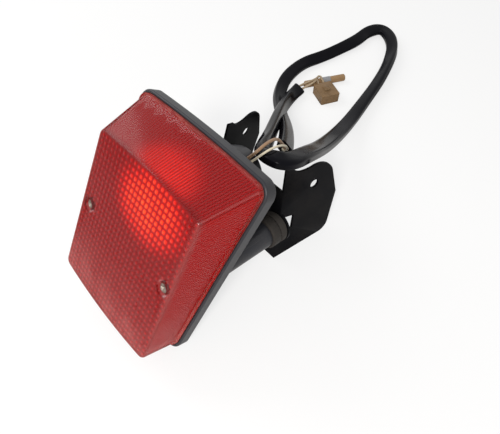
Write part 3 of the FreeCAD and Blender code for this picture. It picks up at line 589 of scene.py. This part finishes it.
def wall_place(side):
    """Fluted inside of one wall: 0 top, 1 right, 2 bottom, 3 left; v runs from the rim to the face."""
    def place(u, v):
        level = v * WALL_RUN + WALL_START
        inset = UNDER_SKIN + FLUTE_RISE - FLUTE_RISE * cushion(u, FLUTES[side])
        at = {key: RIM[key] + (FACE[key] - RIM[key]) * level for key in RIM}
        half_top, half_bottom = at["half_top"] - inset, at["half_bottom"] - inset
        top, bottom = at["top"] - inset, at["bottom"] + inset
        y = level * (FACE["y"] + UNDER_SKIN)
        if side in (0, 2):
            half, z, sway = (half_top, top, TOP_ARCH) if side == 0 else (half_bottom, bottom, -at["sag"])
            return lamp_point((2 * u - 1) * (half - CORNER_KEEP), y, z + sway * bow(u))
        x = half_top + (half_bottom - half_top) * u
        z = top - CORNER_KEEP + (bottom - top + 2 * CORNER_KEEP) * u
        return lamp_point((x if side == 1 else -x), y, z)
    return place


print("pattern", PILLOWS_ACROSS * PILLOWS_DOWN, "pillows and", sum(FLUTES), "flutes")

# %% [markdown]
# The lamp is off, but the optics carry a painted glow, with a little emission, where the reflector sits behind them.
# The colour follows the lamp's own frame, so the painted glow stays where the bulb is: whole cells are bright there,
# small painted highlights sit on the pillows' crowns further out, and the grooves are in deep maroon painted shade.

# %% Colour of the optics
PAINTED_GLOW_GROOVE, PAINTED_GLOW_CROWN = 0.26, 0.44            # what the painted glow adds everywhere, and on the crowns only
WALL_SHADE_DEEP, WALL_SHADE_GONE = -34.0, -29.0            # depths between which the painted shade on the walls, deepest at the face's edge, fades
# share of the colour left where the walls' painted shade is deepest
WALL_SHADE_SHARE = 0.35


def optics_finish(name, pattern):
    """Painted glow, crown highlights and groove shade; pattern: "dots" for the face, "x" for the top and bottom
    walls, "z" for the two side walls.
    """
    material = bpy.data.materials.new(name)
    material.use_nodes = True
    tree = material.node_tree
    surface = tree.nodes["Principled BSDF"]
    surface.inputs["Roughness"].default_value = 0.4
    surface.inputs["Specular IOR Level"].default_value = 0.1
    x, y, z = lamp_coordinates(tree)
    # Painted glow: brighter around the bulb's place on the lamp, though the lamp is off.
    centre_x, centre_z, reach_x, reach_z = PAINTED_GLOW_ABOVE if pattern == "x" else PAINTED_GLOW
    spread = maths(tree, "ADD", spread_from(tree, x, centre_x, reach_x), spread_from(tree, z, centre_z, reach_z))
    glow = ramp_in(tree, spread, 0.0, 1.0, 1.0, 0.0)
    patchy = ramp_in(tree, noise_in(tree, 60.0).outputs["Fac"], 0.3, 0.7, 0.75, 1.0)
    glow = maths(tree, "MULTIPLY", glow, patchy)
    cell = tree.nodes.new("ShaderNodeAttribute")
    cell.attribute_name = "cell_height"
    # Painted highlights on the crowns, painted shade in the grooves.
    crown = ramp_in(tree, cell.outputs["Fac"], 0.15, 0.80)
    if pattern == "dots":
        small = ramp_in(tree, cell.outputs["Fac"], 0.62, 1.0)
        painted_highlight = maths(tree, "ADD", maths(tree, "MULTIPLY", crown, glow),
                     maths(tree, "MULTIPLY", small, maths(tree, "SUBTRACT", 1.0, glow)))
        base, gain, painted_glow_strength = 0.10, 0.24, 0.95     # the grooves' painted shade, the painted highlight a crown adds, and the painted glow's strength
    else:
        painted_highlight = crown
        base, gain, painted_glow_strength = (0.05, 0.14, 0.48) if pattern == "x" else (0.05, 0.26, 0.45)
    level = maths(tree, "ADD", maths(tree, "MULTIPLY", glow, PAINTED_GLOW_GROOVE * painted_glow_strength), base)
    bright = maths(tree, "ADD", level, maths(tree, "MULTIPLY", painted_highlight, maths(
        tree, "ADD", maths(tree, "MULTIPLY", glow, PAINTED_GLOW_CROWN * painted_glow_strength), gain)))
    if pattern != "dots":
        # Painted shade: the walls darker where they meet the face.
        bright = maths(tree, "MULTIPLY", bright, ramp_in(tree, y, WALL_SHADE_DEEP, WALL_SHADE_GONE, WALL_SHADE_SHARE, 1.0))
    ramp = tree.nodes.new("ShaderNodeValToRGB")
    ramp.color_ramp.elements[0].color = (0.05, 0.001, 0.002, 1)
    ramp.color_ramp.elements[1].color = (1.0, 0.13, 0.03, 1)
    for at, colour in ((0.30, (0.36, 0.005, 0.005, 1)), (0.6, (0.90, 0.020, 0.010, 1))):
        ramp.color_ramp.elements.new(at).color = colour
    tree.links.new(bright, ramp.inputs["Fac"])
    tree.links.new(ramp.outputs["Color"], surface.inputs["Base Color"])
    tree.links.new(ramp.outputs["Color"], surface.inputs["Emission Color"])
    # A little emission makes the optics glow as painted light; the lamp is off.
    surface.inputs["Emission Strength"].default_value = 0.16
    return material


# middle and reach of the painted glow, as x, z, reach in x and reach in z on the lamp
PAINTED_GLOW = (12.0, -47.0, 44.0, 33.0)
PAINTED_GLOW_ABOVE = (8.0, -21.0, 36.0, 17.0)
OPTICS = optics_finish("red_pillow_optics", "dots")
FLUTES_ACROSS = optics_finish("red_flutes_across", "x")
FLUTES_UP = optics_finish("red_flutes_up", "z")
pillows = patterned_grid("lens_pillows", PILLOWS_ACROSS * STEPS, PILLOWS_DOWN * STEPS, face_place, face_pattern,
                         OPTICS, clear_of_screws)
walls = [patterned_grid("lens_flutes_" + name, FLUTES[side] * FLUTE_STEPS, WALL_STEPS, wall_place(side),
                        lambda u, v, cells=FLUTES[side]: cushion(u, cells),
                        FLUTES_UP if side in (1, 3) else FLUTES_ACROSS)
         for side, name in enumerate(WALL_NAMES)]
print("optics", len(pillows.data.polygons), "faces on the front")

# %% [markdown]
# The lens is held by two pan-head screws with a cross recess, each on a thin seal, and sits on a gasket that shows
# as a fine line along the rim.

# %% Lens fixings
SCREW_STEEL = finish("screw_steel", (0.30, 0.26, 0.22), 0.45, metal=1.0, dust=0.5, dust_colour=(0.14, 0.07, 0.05))
GASKET = finish("gasket_strip", (0.42, 0.10, 0.08), 0.6)
dressed("lens_screws", SCREW_STEEL, 28)
dressed("screw_seals", BLACK_RUBBER)
dressed("lens_gasket", GASKET)
print("lens fixings dressed")

# %% [markdown]
# At the harness's far end are a plug block and a bullet boot of dirty natural plastic, with short wires.

# %% Connectors
DIRTY_PLASTIC = finish("dirty_plastic", (0.20, 0.12, 0.055), 0.45, dust=0.8, dust_colour=(0.085, 0.055, 0.03),
                       specular=0.25)
BOOT_VINYL = finish("boot_vinyl", (0.31, 0.19, 0.095), 0.40, dust=0.75, dust_colour=(0.12, 0.07, 0.035),
                    specular=0.25)
GREY_BAND = finish("grey_band", (0.24, 0.24, 0.25), 0.4)
SLEEVE_VINYL = finish("sleeve_vinyl", (0.004, 0.004, 0.006), 0.20, dust=0.04, dust_colour=(0.08, 0.075, 0.07),
                      specular=0.05)
BROWN_VINYL = finish("brown_vinyl", (0.33, 0.19, 0.10), 0.4, dust=0.3, dust_colour=(0.25, 0.2, 0.15))
DIRTY_VINYL = finish("dirty_vinyl", (0.36, 0.27, 0.17), 0.4, dust=0.7, dust_colour=(0.12, 0.08, 0.05))
CREAM_VINYL = finish("cream_vinyl", (0.72, 0.64, 0.48), 0.4, dust=0.3, dust_colour=(0.4, 0.34, 0.26))
far_pieces = [dressed("plug_housing", DIRTY_PLASTIC), dressed("plug_terminals", CAP_BRASS),
              dressed("plug_wires", DIRTY_VINYL, 60), dressed("bullet_boot", BOOT_VINYL),
              dressed("bullet_band", GREY_BAND), dressed("bullet_wire", BROWN_VINYL, 60)]
sleeve.data.materials.append(SLEEVE_VINYL)
brown_wire.data.materials.append(BROWN_VINYL)
cream_wire.data.materials.append(CREAM_VINYL)
print("connectors dressed")

# %% [markdown]
# The lamp lies on a pale bench in soft light. The bench shows as white to the camera but keeps the soft shadow. A
# small light high in front, on the right, gives the shadows their direction, and a broad fill on the left lifts the
# dark side.

# %% Bench and light
BENCH_WHITE = 0.68          # share of plain white that the camera sees in the bench
ROOM_LIGHT = 0.55           # strength of the room's soft light; what is seen or mirrored of it is 1


def bench_finish():
    """Matt white that the camera sees brighter than it is lit."""
    material = bpy.data.materials.new("pale_bench")
    material.use_nodes = True
    tree = material.node_tree
    surface = tree.nodes["Principled BSDF"]
    surface.inputs["Base Color"].default_value = (0.90, 0.895, 0.89, 1)
    surface.inputs["Roughness"].default_value = 0.8
    surface.inputs["Specular IOR Level"].default_value = 0.1
    glow = tree.nodes.new("ShaderNodeEmission")
    glow.inputs["Color"].default_value = (1, 1, 1, 1)
    glow.inputs["Strength"].default_value = 1.0
    path = tree.nodes.new("ShaderNodeLightPath")
    mix = tree.nodes.new("ShaderNodeMixShader")
    seen = maths(tree, "MULTIPLY", path.outputs["Is Camera Ray"], BENCH_WHITE)
    tree.links.new(seen, mix.inputs["Fac"])
    tree.links.new(surface.outputs["BSDF"], mix.inputs[1])
    tree.links.new(glow.outputs["Emission"], mix.inputs[2])
    tree.links.new(mix.outputs["Shader"], tree.nodes["Material Output"].inputs["Surface"])
    return material


bench_mesh = bpy.data.meshes.new("bench")
bench_shape = bmesh.new()
bmesh.ops.create_grid(bench_shape, x_segments=1, y_segments=1, size=6.0)
bench_shape.to_mesh(bench_mesh)
bench_shape.free()
bench_mesh.materials.append(bench_finish())
bench = bpy.data.objects.new("bench", bench_mesh)
bpy.context.scene.collection.objects.link(bench)

world = bpy.data.worlds.new("room")
bpy.context.scene.world = world
world.use_nodes = True
sky = world.node_tree
room = sky.nodes["Background"]
room.inputs["Color"].default_value = (1, 1, 1, 1)
path = sky.nodes.new("ShaderNodeLightPath")
shown = maths(sky, "MAXIMUM", path.outputs["Is Camera Ray"],
              maths(sky, "MAXIMUM", path.outputs["Is Glossy Ray"], path.outputs["Is Transmission Ray"]))
sky.links.new(ramp_in(sky, shown, 0.0, 1.0, ROOM_LIGHT, 1.0), room.inputs["Strength"])


def area_light(name, place, aim, size, power, colour=(1, 1, 1)):
    """A round light at a place, turned towards its aim."""
    data = bpy.data.lights.new(name, "AREA")
    data.shape = "DISK"
    data.size = size
    data.energy = power
    data.color = colour
    light = bpy.data.objects.new(name, data)
    light.location = place
    light.rotation_mode = "QUATERNION"
    light.rotation_quaternion = (Vector(aim) - Vector(place)).to_track_quat("-Z", "Y")
    bpy.context.scene.collection.objects.link(light)


area_light("window", (0.42, -0.66, 0.80), (0, 0, 0.05), 0.24, 8.0, (1.0, 0.98, 0.95))
area_light("fill", (-0.95, -0.15, 0.8), (0, 0.05, 0.05), 0.8, 5.0)
bpy.context.scene.view_settings.view_transform = "Standard"
print("bench and light in place")
